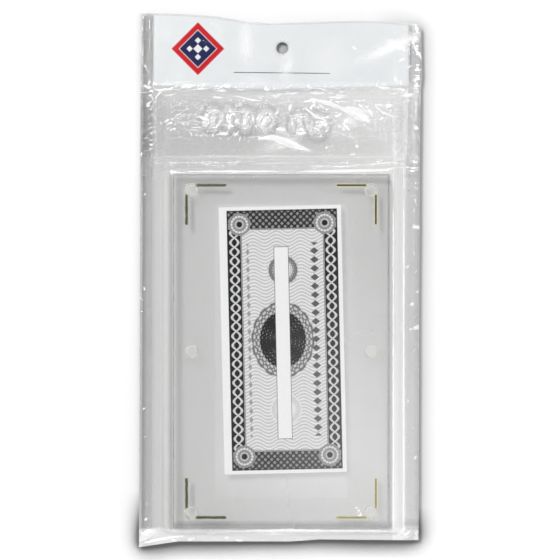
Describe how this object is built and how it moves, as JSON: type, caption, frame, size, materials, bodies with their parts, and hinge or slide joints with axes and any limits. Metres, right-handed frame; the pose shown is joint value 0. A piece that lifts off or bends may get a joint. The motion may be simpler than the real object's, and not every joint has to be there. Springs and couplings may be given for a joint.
{
  "type": "hard currency holder",
  "caption": "Clear screw-together plate holder for a banknote, in a clear bag with a header card and its loose fasteners.",
  "frame": {"origin": "middle of the bag's underside", "axes": "+X to the right and +Y towards the header card as seen from the front, +Z out of the front face"},
  "size_m": [0.165, 0.3156, 0.0102],
  "materials": {
    "film": "clear soft poly film, crinkled",
    "header_card": "coated white card",
    "acrylic": "clear polished acrylic",
    "printed_card": "white paper card printed in black and grey",
    "gold_foil": "hot-stamped gold foil",
    "clear_plastic": "clear moulded plastic"
  },
  "bodies": {
    "pack": {"bag_back_film": "film", "bag_front_film": "film", "header_card": "header_card", "back_plate": "acrylic", "post_1": "clear_plastic", "post_2": "clear_plastic", "post_3": "clear_plastic", "post_4": "clear_plastic", "post_5": "clear_plastic", "post_6": "clear_plastic"},
    "front_plate": {"front_plate": "acrylic"},
    "center_plate": {"center_plate": "acrylic", "line_top_left_across": "gold_foil", "line_top_left_down": "gold_foil", "line_top_right_across": "gold_foil", "line_top_right_down": "gold_foil", "line_foot_left_across": "gold_foil", "line_foot_left_down": "gold_foil", "line_foot_right_across": "gold_foil", "line_foot_right_down": "gold_foil"},
    "note_insert": {"note_insert": "printed_card"},
    "screw_1": {"screw_1": "clear_plastic"},
    "screw_2": {"screw_2": "clear_plastic"},
    "screw_3": {"screw_3": "clear_plastic"},
    "screw_4": {"screw_4": "clear_plastic"},
    "screw_5": {"screw_5": "clear_plastic"},
    "screw_6": {"screw_6": "clear_plastic"}
  },
  "joints": [
    {"name": "front_plate_lift", "type": "slide", "parent": "pack", "child": "front_plate", "axis": [0, 0, 1], "range_m": [0, 0.012], "deforming": ["bag_front_film"]},
    {"name": "center_plate_lift", "type": "slide", "parent": "pack", "child": "center_plate", "axis": [0, 0, 1], "range_m": [0, 0.006]},
    {"name": "note_insert_lift", "type": "slide", "parent": "pack", "child": "note_insert", "axis": [0, 0, 1], "range_m": [0, 0.003]},
    {"name": "screw_1_unscrew", "type": "slide", "parent": "pack", "child": "screw_1", "axis": [0, 1, 0], "range_m": [0, 0.0045]},
    {"name": "screw_2_unscrew", "type": "slide", "parent": "pack", "child": "screw_2", "axis": [0, 1, 0], "range_m": [0, 0.0045]},
    {"name": "screw_3_unscrew", "type": "slide", "parent": "pack", "child": "screw_3", "axis": [0, 1, 0], "range_m": [0, 0.0045]},
    {"name": "screw_4_unscrew", "type": "slide", "parent": "pack", "child": "screw_4", "axis": [0.7071, 0.7071, 0], "range_m": [0, 0.0045]},
    {"name": "screw_5_unscrew", "type": "slide", "parent": "pack", "child": "screw_5", "axis": [-0.1219, 0.9925, 0], "range_m": [0, 0.0045]},
    {"name": "screw_6_unscrew", "type": "slide", "parent": "pack", "child": "screw_6", "axis": [0.1045, 0.9945, 0], "range_m": [0, 0.0045]}
  ],
  "couplings": [
    {"joint": "center_plate_lift", "follows": "front_plate_lift", "ratio": 0.5},
    {"joint": "note_insert_lift", "follows": "front_plate_lift", "ratio": 0.25}
  ]
}
